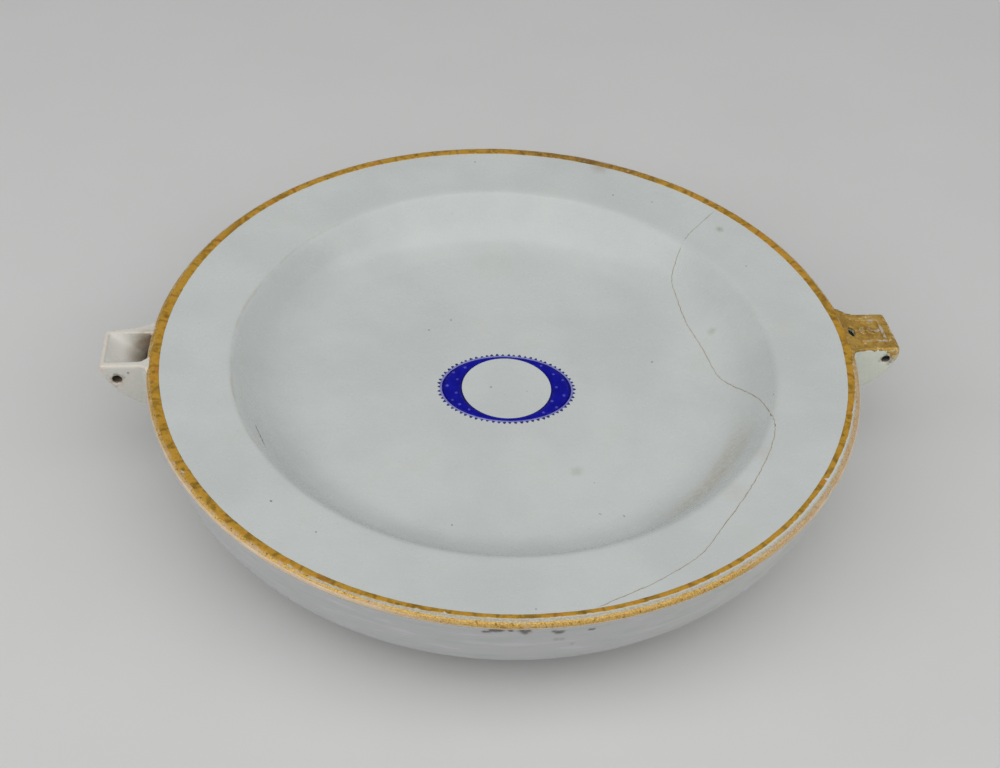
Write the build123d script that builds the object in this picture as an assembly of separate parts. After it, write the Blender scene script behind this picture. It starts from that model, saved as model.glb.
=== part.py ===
from build123d import *
from math import atan2, cos, hypot, pi, radians, sin, tan
import os

# Hot water plate in glazed porcelain, in millimetres.
# A deep plate is luted on top of a closed basin that holds hot water.
# X runs along the two lugs, +Y points to the far side and +Z points up.
# The origin is under the middle of the plate, at the level that the foot stands on.
# The spout lug, open at the top, is at -X and the vent lug, closed, is at +X.

# Plate
rim_height = 47.0
rim_radius = 122.0
lip_thickness = 3.5
lip_rounding = 1.6
flange_width = 28.0
shoulder_drop = 2.5
shoulder_rounding = 3.0
well_depth = 18.0
well_wall_run = 12.6
well_rounding = 20.0
plate_wall = 4.5
seat_margin = 1.2
seat_slope_run = 3.0

# Basin, and the layer of slip between it and the plate
lip_overhang = 0.6
basin_taper = 8.6
basin_wall = 4.5
basin_floor = 5.0
basin_belly_rounding = 33.0
seam_thickness = 0.6

# Foot
foot_height = 5.0
foot_radius = 77.0
foot_width = 6.0
foot_taper = 1.0
foot_rounding = 1.2

# Both lugs: reach is measured outwards from the rim
lug_width = 19.5
lug_offset = 3.5
lug_top_drop = 2.0
lug_underside_drop = 18.8
lug_side_wall = 2.4
lug_end_wall = 1.9
lug_edge_rounding = 1.1
luting_leg = 3.0

# Spout lug: bulge is how far its end bows out from a straight line.
# Its scooped floor runs shallow over the pin hole and then down to the basin.
spout_reach = 16.0
spout_bulge = 4.0
spout_pin_inset = 5.8
spout_pin_drop = 4.8
spout_pin_radius = 1.7
scoop_depth = 1.4
scoop_pin_cover = 0.6

# Vent lug
vent_reach = 17.4
vent_bulge = 6.1
vent_pin_inset = 4.8
vent_pin_drop = 3.6
vent_pin_radius = 1.5
vent_slab = 2.0
vent_hole_length = 4.2
vent_hole_width = 2.0
vent_hole_gap = 0.6

# Way for the water through the basin's wall behind each lug
aperture_side_margin = 1.8
aperture_drop = 3.0
aperture_rise = 4.3
aperture_rounding = 2.5

# Gilding
gilt_thickness = 0.1
band_width = 2.6
band_gap = 0.1
edge_line_angle = 48.0

# Moulded panel on top of the vent lug
panel_root_gap = 4.0
panel_edge_gap = 2.6
panel_border = 1.1
panel_relief = 0.6
stem_width = 0.6
leaf_length = 2.8
leaf_width = 1.5
leaf_angle = 50.0
leaf_pitch = 2.8
leaf_pairs = 2

# Enamelled medallion in the well
enamel_thickness = 0.12
medallion_length = 48.8
medallion_width = 36.4
medallion_place = (0.9, -3.1)
medallion_tilt = -3.9
reserve_radius = 15.6
bead_radius = 0.55
bead_pitch = 2.0
line_width = 0.6
line_gap = 0.1
star_radius = 0.35
inner_star_distance = 17.9
inner_star_angle = 21.0
inner_star_count = 4
outer_star_distance = 20.6
outer_star_angle = 14.0
outer_star_count = 3

# Levels, radii and outline points that follow from the sizes above
well_level = rim_height - well_depth
seat_level = rim_height - lip_thickness
basin_top = seat_level - seam_thickness
basin_radius = rim_radius - lip_overhang
basin_base_radius = basin_radius - basin_taper
foot_inner_radius = foot_radius - foot_width
shoulder_radius = rim_radius - flange_width
well_foot_radius = shoulder_radius - well_wall_run
well_centre = (0, well_level)
well_foot = (well_foot_radius, well_level)
shoulder = (shoulder_radius, rim_height - shoulder_drop)
rim = (rim_radius, rim_height)
basin_edge = (basin_radius, basin_top)
basin_base = (basin_base_radius, foot_height)
basin_centre = (0, foot_height)
flange_slope = atan2(shoulder_drop, flange_width)
lug_top = rim_height - lug_top_drop
lug_bottom = lug_top - lug_underside_drop
lug_near = lug_offset - lug_width / 2
lug_far = lug_offset + lug_width / 2
spout_tip = rim_radius + spout_reach
vent_tip = rim_radius + vent_reach
cut_margin = 1.0
most_of_straight = 0.98


def moved_right(start, end, distance):
    """Straight stretch after it moves to its right, as a start and a direction."""
    along = (Vector(*end) - Vector(*start)).normalized()
    return Vector(*start) + Vector(along.Y, -along.X) * distance, along


def crossing(first, second):
    """Point where two stretches, each a start and a direction, meet."""
    start, along = first
    other_start, other_along = second
    gap = other_start - start
    point = start + along * (gap.cross(other_along).Z / along.cross(other_along).Z)
    return point.X, point.Y


def inner_corner(before, corner, after, first_wall, second_wall):
    """Corner inside an outline, at the depth of the walls on the corner's two sides."""
    first = moved_right(before, corner, first_wall)
    second = moved_right(corner, after, second_wall)
    return crossing(first, second)


def height_at(radius, start, end):
    """Height, at a radius, of the straight line through two outline points."""
    return start[1] + (end[1] - start[1]) * (radius - start[0]) / (end[0] - start[0])


def radius_at(height, start, end):
    """Radius, at a height, of the straight line through two outline points."""
    return start[0] + (end[0] - start[0]) * (height - start[1]) / (end[1] - start[1])


def eased(corners, roundings):
    """Roundings of a closed outline, less where two of them would overrun the straight between."""
    points = [Vector(*corner) for corner in corners]
    following = points[1:] + points[:1]
    straights = [after - point for point, after in zip(points, following)]
    reaches = []
    for index, rounding in enumerate(roundings):
        turn = straights[index - 1].get_angle(straights[index])
        reaches.append(rounding * tan(radians(turn) / 2))
    shares = []
    for straight, reach, next_reach in zip(straights, reaches, reaches[1:] + reaches[:1]):
        overrun = (reach + next_reach) / (most_of_straight * straight.length)
        shares.append(1 / max(1, overrun))
    return [rounding * min(shares[index - 1], shares[index]) for index, rounding in enumerate(roundings)]


def turned(corners, roundings):
    """Solid of revolution from (radius, height) corners and the rounding of each."""
    edge = FilletPolyline(*corners, radius=eased(corners, roundings), close=True)
    return revolve(make_face(Plane.XZ * edge), axis=Axis.Z)


basin_inner_radius = crossing(
    moved_right(basin_edge, basin_base, basin_wall),
    (Vector(0, basin_top), Vector(1, 0)),
)[0]


def plate_outline():
    """Corners and roundings of the plate: a flat well, a rounded wall, a flange and a lip."""
    under_foot = inner_corner(well_centre, well_foot, shoulder, plate_wall, plate_wall)
    under_shoulder = inner_corner(well_foot, shoulder, rim, plate_wall, plate_wall)
    seat_inner = basin_inner_radius - seat_margin
    slope_inner = seat_inner - seat_slope_run
    slope_level = height_at(slope_inner, shoulder, rim) - plate_wall / cos(flange_slope)
    outline = [
        (well_centre, 0),
        (well_foot, well_rounding),
        (shoulder, shoulder_rounding),
        (rim, lip_rounding),
        ((rim_radius, seat_level), lip_rounding),
        ((seat_inner, seat_level), 0),
        ((slope_inner, slope_level), 0),
        (under_shoulder, shoulder_rounding + plate_wall),
        (under_foot, well_rounding - plate_wall),
        ((0, well_level - plate_wall), 0),
    ]
    corners = [corner for corner, rounding in outline]
    roundings = [rounding for corner, rounding in outline]
    return corners, eased(corners, roundings)


def lip_round():
    """Rounding of the lip's upper corner as the plate has it."""
    corners, roundings = plate_outline()
    return roundings[corners.index(rim)]


def well_plate():
    """The deep plate, turned from its outline."""
    return turned(*plate_outline())


def filled_basin():
    """The basin's outside, filled in."""
    corners = [basin_centre, basin_base, basin_edge, (0, basin_top)]
    return turned(corners, [0, basin_belly_rounding, 0, 0])


def rim_seam():
    """Ring of fired slip that fills the joint between the plate and the basin's upper edge."""
    high = seat_level + lip_thickness / 2
    corners = [(basin_inner_radius, basin_top), (basin_radius, basin_top)]
    corners += [(basin_radius, high), (basin_inner_radius, high)]
    return turned(corners, [0, 0, 0, 0]) - well_plate()


def filled_body():
    """The outside of the plate, seam and basin together, filled in."""
    core = Pos(0, 0, (basin_top + seat_level) / 2) * Cylinder(basin_inner_radius, seam_thickness)
    return filled_basin() + core + rim_seam() + well_plate()


def aperture(side):
    """Rounded way through the basin's wall, as a solid to cut with."""
    width = lug_width - 2 * lug_side_wall - 2 * aperture_side_margin
    low = lug_bottom + aperture_rise
    high = seat_level - aperture_drop
    middle = (side * shoulder_radius, lug_offset, (low + high) / 2)
    wall_plane = Plane(origin=middle, x_dir=(0, 1, 0), z_dir=(side, 0, 0))
    outline = RectangleRounded(width, high - low, aperture_rounding)
    return extrude(wall_plane * outline, rim_radius + cut_margin - shoulder_radius)


def water_basin():
    """Basin below the plate, with a way for the water behind each lug."""
    inner_base = inner_corner(basin_centre, basin_base, basin_edge, -basin_floor, -basin_wall)
    corners = [basin_centre, basin_base, basin_edge, (basin_inner_radius, basin_top)]
    corners += [inner_base, (0, foot_height + basin_floor)]
    inner_rounding = basin_belly_rounding - basin_wall
    basin = turned(corners, [0, basin_belly_rounding, 0, 0, inner_rounding, 0])
    return basin - aperture(-1) - aperture(1)


def foot_ring():
    """Turned ring that the basin stands on, fitted to the basin's underside."""
    corners = [
        (foot_inner_radius + foot_taper, 0),
        (foot_radius - foot_taper, 0),
        (foot_radius, foot_height),
        (foot_radius, foot_height + basin_floor),
        (foot_inner_radius, foot_height + basin_floor),
        (foot_inner_radius, foot_height),
    ]
    return turned(corners, [foot_rounding, foot_rounding, 0, 0, 0, 0]) - filled_basin()


round_body = filled_body()


def lug_circle(tip, bulge, wall=0.0):
    """Circle on the XZ plane whose outer arc is the lug's end, or lies a wall inside it."""
    top_end = Vector(tip, lug_top)
    root_end = Vector(radius_at(lug_bottom, basin_base, basin_edge), lug_bottom)
    chord = root_end - top_end
    radius = (chord.length**2 / 4 + bulge**2) / (2 * bulge)
    towards_plate = Vector(chord.Y, -chord.X).normalized()
    centre = (top_end + root_end) / 2 + towards_plate * (radius - bulge)
    return Pos(centre.X, centre.Y) * Circle(radius - wall)


def lug_window(tip, low, high):
    """Upright window on the XZ plane, from inside the basin's wall to past the lug's tip."""
    inner = basin_inner_radius - basin_taper
    outer = tip + cut_margin
    return Pos((inner + outer) / 2, (low + high) / 2) * Rectangle(outer - inner, high - low)


def across(view, near, far):
    """Solid with this side view that reaches from near to far along Y."""
    return extrude(Plane(origin=(0, far, 0), x_dir=(1, 0, 0), z_dir=(0, -1, 0)) * view, far - near)


def lug_block(tip, bulge):
    """Outside of a lug at +X, filled in, with its free edges rounded."""
    view = lug_circle(tip, bulge) & lug_window(tip, 0, lug_top)
    block = across(view, lug_near, lug_far)
    inner_edges = block.edges().group_by(Axis.X)[0]
    outer_edges = block.edges() - inner_edges
    return fillet(outer_edges, lug_edge_rounding) - round_body


def lug_hollow(tip, bulge, high):
    """Space between a lug's side walls and inside its end wall, up to a height."""
    view = lug_circle(tip, bulge, lug_end_wall) & lug_window(tip, 0, high)
    return across(view, lug_near + lug_side_wall, lug_far - lug_side_wall)


def scoop_ground(tip):
    """Solid under a scooped floor that clears the spout's pin hole and ends at the basin's aperture."""
    low = lug_bottom + aperture_rise
    inner = basin_inner_radius - basin_taper
    over_pin = lug_top - spout_pin_drop + spout_pin_radius + scoop_pin_cover
    before_pin = tip - spout_pin_inset - spout_pin_radius - scoop_pin_cover
    outline = [
        (inner, low),
        (radius_at(low, basin_base, basin_edge), low),
        (before_pin, over_pin),
        (tip, lug_top - scoop_depth),
        (tip, 0),
        (inner, 0),
    ]
    return across(make_face(Polyline(*outline, close=True)), lug_near, lug_far)


def pin_hole(tip, inset, drop, radius):
    """Straight hole across a lug, as a solid to cut with."""
    view = Pos(tip - inset, lug_top - drop) * Circle(radius)
    return across(view, lug_near - cut_margin, lug_far + cut_margin)


def slab_between(near, far, low, high):
    """Box past a lug's length and reach, to share its block out into slabs."""
    return across(lug_window(rim_radius + vent_reach + spout_reach, low, high), near, far)


def luting(tip, bulge):
    """Two upright fillets of slip where a lug at +X joins the basin."""
    start, end = Vector(*basin_edge), Vector(*basin_base)
    down_the_wall = (end.X - start.X, 0, end.Y - start.Y)
    length = hypot(end.X - start.X, end.Y - start.Y)
    side_view = across(lug_circle(tip, bulge) & lug_window(tip, 0, lug_top), -rim_radius, rim_radius)
    fillets = []
    for edge, outwards in ((lug_near, -1), (lug_far, 1)):
        wall = (rim_radius**2 - edge**2) ** 0.5
        corner = Pos(wall, edge + outwards * luting_leg / 2) * Rectangle(2 * luting_leg, luting_leg)
        hollow = Pos(wall + luting_leg, edge + outwards * luting_leg) * Circle(luting_leg)
        column = extrude(Pos(0, 0, lug_top) * (corner - hollow), length, dir=down_the_wall)
        fillets.append((column & side_view) - round_body)
    return fillets


def spout_lug():
    """The open lug that the water goes in by: two side walls, a scooped end and their luting."""
    hole = pin_hole(spout_tip, spout_pin_inset, spout_pin_drop, spout_pin_radius)
    block = lug_block(spout_tip, spout_bulge) - hole
    near_wall = block & slab_between(lug_near, lug_near + lug_side_wall, 0, lug_top)
    far_wall = block & slab_between(lug_far - lug_side_wall, lug_far, 0, lug_top)
    middle = block & slab_between(lug_near + lug_side_wall, lug_far - lug_side_wall, 0, lug_top)
    end_wall = middle - (lug_hollow(spout_tip, spout_bulge, lug_top + cut_margin) - scoop_ground(spout_tip))
    pieces = {
        "spout_near_wall": [near_wall],
        "spout_far_wall": [far_wall],
        "spout_end_wall": [end_wall],
        "spout_luting": luting(spout_tip, spout_bulge),
    }
    return {name: [mirror(solid, about=Plane.YZ) for solid in solids] for name, solids in pieces.items()}


def vent_hole():
    """Slot in the top of the vent lug, beside the rim, as a solid to cut with."""
    place = Pos(rim_radius + vent_hole_gap + vent_hole_width / 2, lug_offset, lug_top - vent_slab - cut_margin)
    outline = Rot(0, 0, 90) * SlotOverall(vent_hole_length, vent_hole_width)
    return extrude(place * outline, vent_slab + 2 * cut_margin)


def panel_rectangle(inset):
    """Rectangle of the moulded panel on the vent lug's top, drawn in by an inset."""
    margin = lug_edge_rounding + panel_edge_gap + inset
    inner = rim_radius + panel_root_gap + inset
    outer = vent_tip - margin
    near = lug_near + margin
    far = lug_far - margin
    return Pos((inner + outer) / 2, (near + far) / 2, lug_top) * Rectangle(outer - inner, far - near)


def sprig():
    """Flat outline of a stem along X with pairs of leaves and one leaf at its end."""
    middle = panel_rectangle(panel_border).center()
    leaf = Pos(leaf_length / 2, 0) * Ellipse(leaf_length / 2, leaf_width / 2)
    stem_length = leaf_pairs * leaf_pitch
    outline = Rectangle(stem_length, stem_width)
    outline += Pos(stem_length / 2 - stem_width) * leaf
    for index in range(leaf_pairs):
        root = Pos(-stem_length / 2 + index * leaf_pitch)
        outline += root * Rot(0, 0, leaf_angle) * leaf
        outline += root * Rot(0, 0, -leaf_angle) * leaf
    return Pos(middle.X - leaf_length / 2, middle.Y, lug_top) * outline


def vent_lug():
    """The closed lug that air leaves by: walls, top slab, moulded panel, gilding and luting."""
    hole = pin_hole(vent_tip, vent_pin_inset, vent_pin_drop, vent_pin_radius)
    block = lug_block(vent_tip, vent_bulge) - hole
    slab_low = lug_top - vent_slab
    near_wall = block & slab_between(lug_near, lug_near + lug_side_wall, 0, slab_low)
    far_wall = block & slab_between(lug_far - lug_side_wall, lug_far, 0, slab_low)
    middle = block & slab_between(lug_near + lug_side_wall, lug_far - lug_side_wall, 0, slab_low)
    end_wall = middle - lug_hollow(vent_tip, vent_bulge, slab_low)
    top = block & slab_between(lug_near, lug_far, slab_low, lug_top)
    inside = panel_rectangle(panel_border)
    border = panel_rectangle(0) - inside - Pos(-panel_border) * inside
    gilt_area = panel_rectangle(-panel_edge_gap) - border - sprig()
    ground = extrude(gilt_area, gilt_thickness) - vent_hole() - round_body
    return {
        "vent_lug_near_wall": [near_wall],
        "vent_lug_far_wall": [far_wall],
        "vent_lug_end_wall": [end_wall],
        "vent_lug_top": [top - vent_hole()],
        "vent_lug_luting": luting(vent_tip, vent_bulge),
        "vent_lug_border": [extrude(border, panel_relief)],
        "vent_lug_sprig": [extrude(sprig(), panel_relief)],
        "vent_lug_gilding": [ground],
    }


def round_outside(centre, radius, sweep):
    """Corners of a broken line round the outside of an arc, which it touches at three angles."""
    quarter = radians(sweep) / 4
    peak = radius / cos(quarter)
    corners = []
    for quarters, distance in ((0, radius), (1, peak), (3, peak), (4, radius)):
        angle = quarters * quarter
        corners.append((centre[0] + distance * cos(angle), centre[1] + distance * sin(angle)))
    return corners


def rim_gilding():
    """Broad band on the flange and narrow line round the lip's upper rounding."""
    rounding = lip_round()
    lip_run = rounding * tan((pi / 2 + flange_slope) / 2) * cos(flange_slope)
    outer = rim_radius - lip_run - band_gap
    inner = outer - band_width
    band = [(inner, height_at(inner, shoulder, rim)), (outer, height_at(outer, shoulder, rim))]
    band += [(radius, height + gilt_thickness) for radius, height in reversed(band)]
    middle = rim_radius - rounding
    middle_height = height_at(middle, shoulder, rim) - rounding / cos(flange_slope)
    inside = round_outside((middle, middle_height), rounding, edge_line_angle)
    outside = round_outside((middle, middle_height), rounding + gilt_thickness, edge_line_angle)
    edge = inside + outside[::-1]
    return {
        "rim_gilt_band": [turned(band, [0] * len(band))],
        "rim_gilt_edge": [turned(edge, [0] * len(edge))],
    }


def medallion():
    """Blue ground round a plain reserve, a pale line, a row of beads and scattered stars."""
    place = Pos(*medallion_place, well_level) * Rot(0, 0, medallion_tilt)
    bead_long = medallion_length / 2 - bead_radius
    bead_short = medallion_width / 2 - bead_radius
    line_outset = bead_radius + line_gap
    ground_outset = line_outset + line_width
    line_outer = Ellipse(bead_long - line_outset, bead_short - line_outset)
    line_inner = Ellipse(bead_long - ground_outset, bead_short - ground_outset)
    track = Edge.make_ellipse(bead_long, bead_short)
    bead_count = round(track.length / bead_pitch)
    beads = []
    for index in range(bead_count):
        spot = track @ (index / bead_count)
        beads.append(place * extrude(Pos(spot.X, spot.Y) * Circle(bead_radius), enamel_thickness))
    stars = []
    star_rows = [
        (inner_star_distance, inner_star_angle, inner_star_count),
        (outer_star_distance, outer_star_angle, outer_star_count),
    ]
    for distance, angle_pitch, count in star_rows:
        for index in range(count):
            angle = (index - (count - 1) / 2) * angle_pitch
            for facing in (0, 180):
                spot = Rot(0, 0, facing + angle) * Pos(distance, 0, enamel_thickness)
                stars.append(place * spot * extrude(Circle(star_radius), enamel_thickness))
    return {
        "medallion_ground": [place * extrude(line_inner - Circle(reserve_radius), enamel_thickness)],
        "medallion_line": [place * extrude(line_outer - line_inner, enamel_thickness)],
        "medallion_beads": beads,
        "medallion_stars": stars,
    }


pieces = {
    "well_plate": [well_plate()],
    "rim_seam": [rim_seam()],
    "water_basin": [water_basin()],
    "foot_ring": [foot_ring()],
}
pieces.update(spout_lug())
pieces.update(vent_lug())
pieces.update(rim_gilding())
pieces.update(medallion())

os.makedirs("parts", exist_ok=True)
for name, shapes in pieces.items():
    solids = [solid for shape in shapes for solid in shape.solids()]
    export_step(Compound(children=solids), f"parts/{name}.step")
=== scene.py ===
import random
from math import atan2, ceil, cos, pi, radians, sin, tan

import bmesh
import bpy
import numpy as np
from mathutils import Matrix, Vector, noise
from mathutils.bvhtree import BVHTree


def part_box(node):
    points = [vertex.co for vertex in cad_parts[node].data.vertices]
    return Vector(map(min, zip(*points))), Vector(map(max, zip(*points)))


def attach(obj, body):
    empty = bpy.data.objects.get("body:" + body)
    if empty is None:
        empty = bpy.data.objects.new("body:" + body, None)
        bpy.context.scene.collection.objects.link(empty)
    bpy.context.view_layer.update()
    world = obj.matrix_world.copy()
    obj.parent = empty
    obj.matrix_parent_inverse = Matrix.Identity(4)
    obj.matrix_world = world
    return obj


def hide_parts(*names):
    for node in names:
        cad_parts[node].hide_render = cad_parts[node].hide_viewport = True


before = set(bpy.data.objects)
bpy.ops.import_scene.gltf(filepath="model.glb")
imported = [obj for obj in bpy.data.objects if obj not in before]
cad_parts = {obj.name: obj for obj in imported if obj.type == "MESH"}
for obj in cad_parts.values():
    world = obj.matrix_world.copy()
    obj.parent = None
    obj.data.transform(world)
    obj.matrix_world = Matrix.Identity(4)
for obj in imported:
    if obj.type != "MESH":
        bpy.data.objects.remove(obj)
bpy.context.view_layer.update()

# Looks of a hot water plate in old glazed porcelain with worn gilding and a blue medallion.
# Lengths are in metres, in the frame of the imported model: X along the lugs, +Y far, +Z up.

mm = 0.001
chance = random.Random(7)

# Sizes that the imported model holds
rim_radius = round(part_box("well_plate")[1].x, 4)
basin_radius = round(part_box("water_basin")[1].x, 4)
basin_top = round(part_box("water_basin")[1].z, 4)
seam_overlap = 0.6 * mm
seat_level = round(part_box("rim_seam")[0].z, 4) + seam_overlap
foot_radius = round(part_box("foot_ring")[1].x, 4)
vent_top = round(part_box("vent_lug_top")[1].z, 4)
enamel_level = round(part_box("medallion_ground")[0].z, 4)
lug_near = round(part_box("spout_near_wall")[0].y, 5)
lug_far = round(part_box("spout_far_wall")[1].y, 5)

# Outline of the plate
rim_peak = 47 * mm
lip_rounding = 1.6 * mm
flange_width = 28 * mm
shoulder_drop = 2.5 * mm
shoulder_rounding = 4 * mm
well_depth = 18 * mm
well_wall_run = 12.6 * mm
well_rounding = 20 * mm
plate_wall = 4.5 * mm
seat_width = 6.5 * mm

# Outline of the basin, its seam and its foot
basin_taper = 8.6 * mm
basin_wall = 4.5 * mm
basin_floor = 5 * mm
basin_edge_rounding = 0.4 * mm
belly_rounding = 33 * mm
seam_reach = 3 * mm
seam_below = 0.1 * mm
seam_above = 1.1 * mm
seam_bulge = 0.25 * mm
seam_rounding = 0.5 * mm
foot_height = 5 * mm
foot_width = 6 * mm
foot_taper = 1 * mm
foot_overlap = 1 * mm
foot_rounding = 1.2 * mm

# Way for the water behind each lug
aperture_width = 11.1 * mm
aperture_low = 30.5 * mm
aperture_high = 40.5 * mm
aperture_rounding = 2.5 * mm

# Hand-made unevenness: waves as (length, heading), chips as (heading, spread, depth)
rim_sag = 0.35 * mm
rim_squeeze = 0.18 * mm
ripple_height = 0.05 * mm
ripple_waves = [(31 * mm, 0.4), (43 * mm, 1.9), (24 * mm, 2.8)]
rim_chips = [(-36.7, 1.6, 0.55 * mm), (62.7, 1.1, 0.3 * mm), (74.0, 2.2, 0.15 * mm)]

# Resolution of the meshes
lathe_segments = 480
gilt_segments = 1440
ring_segments = 360
fine_step = 0.8 * mm
lug_voxel = 0.3 * mm
relief_voxel = 0.13 * mm

lug_middle = (lug_near + lug_far) / 2
shoulder_radius = rim_radius - flange_width
well_level = rim_peak - well_depth
well_foot_radius = shoulder_radius - well_wall_run
basin_base_radius = basin_radius - basin_taper
aperture_inner = shoulder_radius + 8 * mm
aperture_outer = rim_radius + 1 * mm
vent_heading = atan2(lug_middle, rim_radius)
vent_spread = 0.16
front_heading = radians(-80)


def hand_made(points):
    """Points moved as the potter's hand left the form: a little down and inwards, not at the foot."""
    x, y, z = np.array(points, float).reshape(-1, 3).T
    turn = np.arctan2(y, x)
    share = np.hypot(x, y) / rim_radius
    lift = z / rim_peak
    sag = rim_sag * share**2 * (0.5 - 0.5 * np.cos(2 * turn + 0.7))
    for wavelength, heading in ripple_waves:
        along = x * np.cos(heading) + y * np.sin(heading)
        sag = sag + ripple_height * (0.5 + 0.5 * np.sin(2 * pi * along / wavelength + heading))
    inwards = rim_squeeze * share**2 * lift * (0.5 - 0.5 * np.cos(3 * turn + 1.1))
    at_lip = np.clip((share - 0.985) / 0.015, 0, 1) * np.clip((lift - 0.93) / 0.05, 0, 1)
    for heading, spread, depth in rim_chips:
        gap = np.degrees(np.angle(np.exp(1j * (turn - radians(heading))))) / spread
        inwards = inwards + depth * at_lip * np.exp(-gap**2) * (1 + 0.3 * np.sin(5 * gap))
    return np.stack([x - inwards * np.cos(turn), y - inwards * np.sin(turn), z - sag * lift], axis=1)


# Outlines and turned forms


def moved_right(start, end, distance):
    """Straight stretch after it moves to its right, as a start and a direction."""
    along = (Vector(end) - Vector(start)).normalized()
    return Vector(start) + Vector((along.y, -along.x)) * distance, along


def inner_corner(before, corner, after, wall):
    """Corner inside an outline, at the depth of the wall."""
    start, along = moved_right(before, corner, wall[0])
    other, other_along = moved_right(corner, after, wall[1])
    share = (other - start).cross(other_along) / along.cross(other_along)
    return tuple(start + along * share)


def rounded(outline, step=fine_step):
    """Points along a closed outline of (corner, rounding), about a step apart or less."""
    corners = [Vector(corner) for corner, rounding in outline]
    points = []
    for index, (corner, rounding) in enumerate(outline):
        here = corners[index]
        if not rounding:
            points.append(here)
            continue
        back = (corners[index - 1] - here).normalized()
        on = (corners[(index + 1) % len(corners)] - here).normalized()
        half = back.angle(on) / 2
        centre = here + (back + on).normalized() * (rounding / sin(half))
        start = here + back * (rounding / tan(half)) - centre
        sweep = (pi - 2 * half) * (1 if on.cross(back) > 0 else -1)
        steps = max(4, ceil(abs(sweep) * rounding / step))
        for count in range(steps + 1):
            points.append(centre + Matrix.Rotation(sweep * count / steps, 2) @ start)
    filled = []
    for start, end in zip(points, points[1:] + points[:1]):
        pieces = max(1, ceil((end - start).length / (3 * step)))
        filled += [start.lerp(end, piece / pieces) for piece in range(pieces)]
    return np.array([tuple(point) for point in filled])


def plate_form():
    """Outline of the plate: a flat well, a rounded wall, a flange and a lip."""
    centre = (0, well_level)
    foot = (well_foot_radius, well_level)
    shoulder = (shoulder_radius, rim_peak - shoulder_drop)
    rim = (rim_radius, rim_peak)
    walls = (plate_wall, plate_wall)
    return [
        (centre, 0),
        (foot, well_rounding),
        (shoulder, shoulder_rounding),
        (rim, lip_rounding),
        ((rim_radius, seat_level), lip_rounding),
        ((rim_radius - seat_width, seat_level), 0),
        (inner_corner(foot, shoulder, rim, walls), shoulder_rounding + plate_wall),
        (inner_corner(centre, foot, shoulder, walls), well_rounding - plate_wall),
        ((0, well_level - plate_wall), 0),
    ]


def basin_form():
    """Outline of the basin: a belly outside and the same form inside."""
    centre = (0, foot_height)
    base = (basin_base_radius, foot_height)
    edge = (basin_radius, basin_top)
    return [
        (centre, 0),
        (base, belly_rounding),
        (edge, basin_edge_rounding),
        ((basin_radius - basin_wall, basin_top), 0),
        (inner_corner(centre, base, edge, (-basin_floor, -basin_wall)), belly_rounding - basin_wall),
        ((0, foot_height + basin_floor), 0),
    ]


def placed(name, data):
    """New object of the scene that shows this data."""
    thing = bpy.data.objects.new(name, data)
    bpy.context.scene.collection.objects.link(thing)
    return thing


def new_piece(name, points, faces, warp=True):
    """Smooth-shaded mesh object made of these points and faces."""
    mesh = bpy.data.meshes.new(name)
    points = hand_made(points) if warp else np.array(points, float).reshape(-1, 3)
    mesh.from_pydata(points.tolist(), [], [list(face) for face in faces])
    mesh.polygons.foreach_set("use_smooth", [True] * len(mesh.polygons))
    return placed(name, mesh)


def tidy_mesh(piece, merge=1e-6):
    """Merge points that coincide and turn the faces outwards."""
    form = bmesh.new()
    form.from_mesh(piece.data)
    bmesh.ops.remove_doubles(form, verts=form.verts, dist=merge)
    bmesh.ops.recalc_face_normals(form, faces=form.faces)
    form.to_mesh(piece.data)
    form.free()
    return piece


def grid_faces(rows, columns, wrap_rows, wrap_columns, start=0):
    """Quads of a grid of points that may close on itself either way."""
    faces = []
    for row in range(rows if wrap_rows else rows - 1):
        for column in range(columns if wrap_columns else columns - 1):
            next_row = (row + 1) % rows
            next_column = (column + 1) % columns
            corners = (row, column), (next_row, column), (next_row, next_column), (row, next_column)
            faces.append([start + r * columns + c for r, c in corners])
    return faces


def capped_rings(name, rings):
    """Cutter that joins rings of points and is closed at both ends."""
    count = len(rings[0])
    last = len(rings) * count
    faces = grid_faces(len(rings), count, False, True)
    faces += [list(range(count)), list(range(last - 1, last - count - 1, -1))]
    points = [point for ring in rings for point in ring]
    return tidy_mesh(new_piece(name, points, faces, warp=False), 1e-7)


def lathe(name, outline):
    """Solid of revolution of a closed (radius, height) outline."""
    off_axis = np.flatnonzero(outline[:, 0] > 0)
    reaches_axis = len(off_axis) < len(outline)
    if reaches_axis:
        outline = outline[: off_axis[-1] + 2]
    turns = np.linspace(0, 2 * pi, lathe_segments, endpoint=False)
    radii, heights = outline.T
    x = np.cos(turns)[:, None] * radii
    y = np.sin(turns)[:, None] * radii
    points = np.stack([x, y, np.broadcast_to(heights, x.shape)], axis=2)
    faces = grid_faces(lathe_segments, len(outline), True, not reaches_axis)
    return tidy_mesh(new_piece(name, points, faces))


def applied(piece):
    """The piece with its modifiers made part of its mesh."""
    graph = bpy.context.evaluated_depsgraph_get()
    mesh = bpy.data.meshes.new_from_object(piece.evaluated_get(graph))
    piece.modifiers.clear()
    piece.data = mesh
    mesh.polygons.foreach_set("use_smooth", [True] * len(mesh.polygons))
    return piece


def cut(piece, cutter):
    """Take the cutter's form out of the piece and remove the cutter."""
    boolean = piece.modifiers.new("cut", "BOOLEAN")
    boolean.operation = "DIFFERENCE"
    boolean.solver = "EXACT"
    boolean.object = cutter
    applied(piece)
    bpy.data.objects.remove(cutter)


def dress(piece, slot, *nodes):
    """Let the piece ride on the body and stand for CAD nodes, which it hides; the slot is not used."""
    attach(piece, "root")
    if nodes:
        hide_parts(*nodes)


# Materials


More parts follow.
